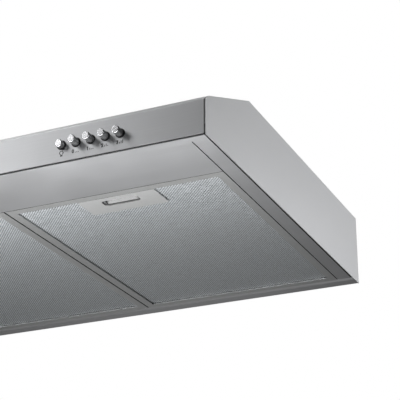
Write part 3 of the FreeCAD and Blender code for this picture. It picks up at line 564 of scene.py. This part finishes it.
class HOOD_OT_duct(bpy.types.Operator):
    """Finishes the elbow, the spigot and its flaps"""

    bl_idname = "hood.duct"
    bl_label = "Duct"

    def execute(self, context):
        paint_nodes("black", "outlet_elbow", "duct_collar", "damper_flap_front", "damper_flap_rear")
        paint_nodes("zinc", "collar_screws")
        paint_nodes("ground", "flap_pins")
        return {"FINISHED"}


class HOOD_OT_electrics(bpy.types.Operator):
    """Finishes the junction box, the capacitor and the leads"""

    bl_idname = "hood.electrics"
    bl_label = "Electrics"

    def execute(self, context):
        paint_nodes("white", "junction_box", "junction_box_cover", "run_capacitor")
        paint_nodes("grey", "terminal_block")
        paint_nodes("black", "cable_gland")
        paint_nodes("zinc", "capacitor_clip")
        paint_nodes("cable", "motor_lead", "lamp_lead", "switch_lead")
        return {"FINISHED"}


# ---- stage ----
FLOOR_DROP = 3.3            # the hood hangs well above the floor, as it does over a hob
CAMERA_PLACE = (0.80246, -1.42457, -0.69577)
CAMERA_RIGHT = (0.910208, 0.414152, 0.000214)
CAMERA_DOWN = (-0.163868, 0.360616, -0.918206)
CAMERA_LENS = 120.61        # mm, on a 36 mm wide sensor
SENSOR_WIDTH = 36.0
FLOOR_HALF = 14.0
FLOOR_COLOUR = "E9E9E8"

# name, centre, aimed at, width, height (m), watts
SOFTBOXES = (
    ("high_front_left", (-1.7, -2.1, 1.0), (0.0, -0.3, -0.05), 1.2, 1.2, 14.5),
    ("high_left", (-1.0, -0.75, 1.6), (0.1, -0.3, -0.05), 0.8, 0.8, 9.0),
    ("high_rear_left", (-1.2, 1.0, 1.7), (0.0, -0.3, -0.05), 1.0, 1.0, 4.0),
    ("rear_left", (-1.6, 1.8, 1.2), (0.0, 0.1, -0.05), 1.4, 1.4, 28.0),
    ("rear_overhead", (0.1, 1.7, 1.8), (0.0, 0.0, 0.0), 1.6, 1.6, 26.0),
    ("right_rear", (1.5, 1.5, 0.3), (0.3, 0.05, -0.05), 1.0, 1.0, 7.8),
    ("right_rear_low", (1.3, 1.3, -0.5), (0.3, 0.05, -0.05), 1.0, 1.0, 0.15),
    ("under_front", (-0.1, -0.28, -0.35), (-0.1, -0.279, -0.093), 1.2, 0.15, 4.7),
    ("under_rear", (-0.5, 1.2, -1.0), (0.05, -0.1, -0.093), 0.8, 0.8, 0.6),
)
SURROUND_FILL = 0.03


def soft_light(name, place_at, aim_at, width, height, watts):
    """A rectangular softbox aimed at a point and left out of the camera's view."""
    data = bpy.data.lights.new(name, "AREA")
    data.shape = "RECTANGLE"
    data.size, data.size_y, data.energy = width, height, watts
    light = bpy.data.objects.new(name, data)
    light.visible_camera = False
    light.location = place_at
    light.rotation_euler = (Vector(aim_at) - Vector(place_at)).to_track_quat("-Z", "Y").to_euler()
    bpy.context.scene.collection.objects.link(light)


def pale_floor():
    """A wide matt floor that looks evenly pale from above and sends no light up of its own."""
    mat, tree, shader = new_material("studio_floor_matt_paint")
    pale = (*linear(FLOOR_COLOUR), 1)
    shader.inputs["Base Color"].default_value = pale
    shader.inputs["Roughness"].default_value = 0.9
    path = add(tree, "ShaderNodeLightPath")
    tree.links.new(path.outputs["Is Camera Ray"], shader.inputs["Emission Strength"])
    shader.inputs["Emission Color"].default_value = pale
    mesh = bpy.data.meshes.new("studio_floor")
    corners = ((-1, -1), (1, -1), (1, 1), (-1, 1))
    mesh.from_pydata([(x * FLOOR_HALF, y * FLOOR_HALF, -FLOOR_DROP) for x, y in corners], [], [(0, 1, 2, 3)])
    mesh.materials.append(mat)
    floor = bpy.data.objects.new("studio_floor", mesh)
    bpy.context.scene.collection.objects.link(floor)


def white_surround():
    """White to the camera, and a faint even fill for everything else."""
    world = bpy.data.worlds.new("studio_surround")
    world.use_nodes = True
    tree = world.node_tree
    tree.nodes.clear()
    white = (1, 1, 1, 1)
    seen = add(tree, "ShaderNodeBackground", {"Color": white, "Strength": 1.0})
    fill = add(tree, "ShaderNodeBackground", {"Color": white, "Strength": SURROUND_FILL})
    path = add(tree, "ShaderNodeLightPath")
    mix = add(tree, "ShaderNodeMixShader", {0: path.outputs["Is Camera Ray"],
                                            1: fill.outputs["Background"],
                                            2: seen.outputs["Background"]})
    add(tree, "ShaderNodeOutputWorld", {"Surface": mix.outputs["Shader"]})
    bpy.context.scene.world = world


def studio_camera():
    """The camera, from its place and the directions of its right and down."""
    data = bpy.data.cameras.new("studio_camera")
    data.lens, data.sensor_width, data.sensor_fit = CAMERA_LENS, SENSOR_WIDTH, "HORIZONTAL"
    data.clip_start, data.clip_end = 0.05, 60.0
    camera = bpy.data.objects.new("studio_camera", data)
    right, up = Vector(CAMERA_RIGHT).normalized(), -Vector(CAMERA_DOWN).normalized()
    back = right.cross(up).normalized()
    turn = Matrix((right, back.cross(right), back)).transposed().to_4x4()
    camera.matrix_world = Matrix.Translation(CAMERA_PLACE) @ turn
    bpy.context.scene.collection.objects.link(camera)
    bpy.context.scene.camera = camera


class HOOD_OT_stage(bpy.types.Operator):
    """Sets the pale floor, the soft lights, the white surround and the camera"""

    bl_idname = "hood.stage"
    bl_label = "Stage"

    def execute(self, context):
        pale_floor()
        white_surround()
        for light in SOFTBOXES:
            soft_light(*light)
        studio_camera()
        context.scene.view_settings.view_transform = "Standard"
        return {"FINISHED"}


GROUPS = (HOOD_OT_case, HOOD_OT_filters, HOOD_OT_latches, HOOD_OT_keys, HOOD_OT_marks, HOOD_OT_lamp,
          HOOD_OT_blower, HOOD_OT_duct, HOOD_OT_electrics, HOOD_OT_stage)


class HOOD_PT_panel(bpy.types.Panel):
    """Lists the groups and their settings"""

    bl_idname = "HOOD_PT_panel"
    bl_label = "Range hood"
    bl_space_type = "VIEW_3D"
    bl_region_type = "UI"
    bl_category = "Range hood"

    def draw(self, context):
        for group in GROUPS:
            self.layout.operator(group.bl_idname)
        for settings in (context.scene.hood_sizes, context.scene.hood_colours):
            box = self.layout.box()
            for name in settings.__annotations__:
                box.prop(settings, name)


CLASSES = (HoodColours, HoodSizes, *GROUPS, HOOD_PT_panel)


def register():
    for cls in CLASSES:
        bpy.utils.register_class(cls)
    bpy.types.Scene.hood_colours = PointerProperty(type=HoodColours)
    bpy.types.Scene.hood_sizes = PointerProperty(type=HoodSizes)


def unregister():
    del bpy.types.Scene.hood_sizes
    del bpy.types.Scene.hood_colours
    for cls in reversed(CLASSES):
        bpy.utils.unregister_class(cls)


def main():
    register()
    for group in GROUPS:
        family, name = group.bl_idname.split(".")
        getattr(getattr(bpy.ops, family), name)()


if __name__ == "__main__":
    main()
